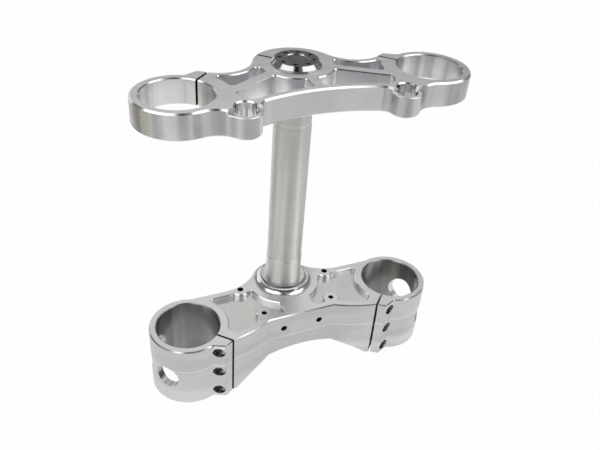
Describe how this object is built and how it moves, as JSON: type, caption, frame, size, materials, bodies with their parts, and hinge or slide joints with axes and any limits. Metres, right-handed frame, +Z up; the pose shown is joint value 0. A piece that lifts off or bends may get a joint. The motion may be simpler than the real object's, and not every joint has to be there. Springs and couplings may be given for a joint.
{
  "type": "motorcycle triple clamp",
  "caption": "Machined upper and lower fork clamps joined by a steering stem; split rings closed by pinch screws grip the fork tubes, and a round nut holds the upper clamp.",
  "frame": {"origin": "on the steering axis, at the shoulder that the lower steering bearing rests on", "axes": "+Z up along the steering stem, -Y to the front, where the fork tubes are, and +X across the forks"},
  "size_m": [0.28, 0.113, 0.2946],
  "materials": {
    "machined_aluminium": "satin, machined",
    "turned_aluminium": "satin, turned",
    "polished_nut": "polished",
    "screw_steel": "bright"
  },
  "bodies": {
    "root": {"upper_clamp": "machined_aluminium", "lower_clamp": "machined_aluminium", "steering_stem": "turned_aluminium", "stem_nut": "polished_nut", "upper_fork_screws": "screw_steel", "lower_fork_screws": "screw_steel", "stem_pinch_screw": "screw_steel"}
  },
  "joints": []
}
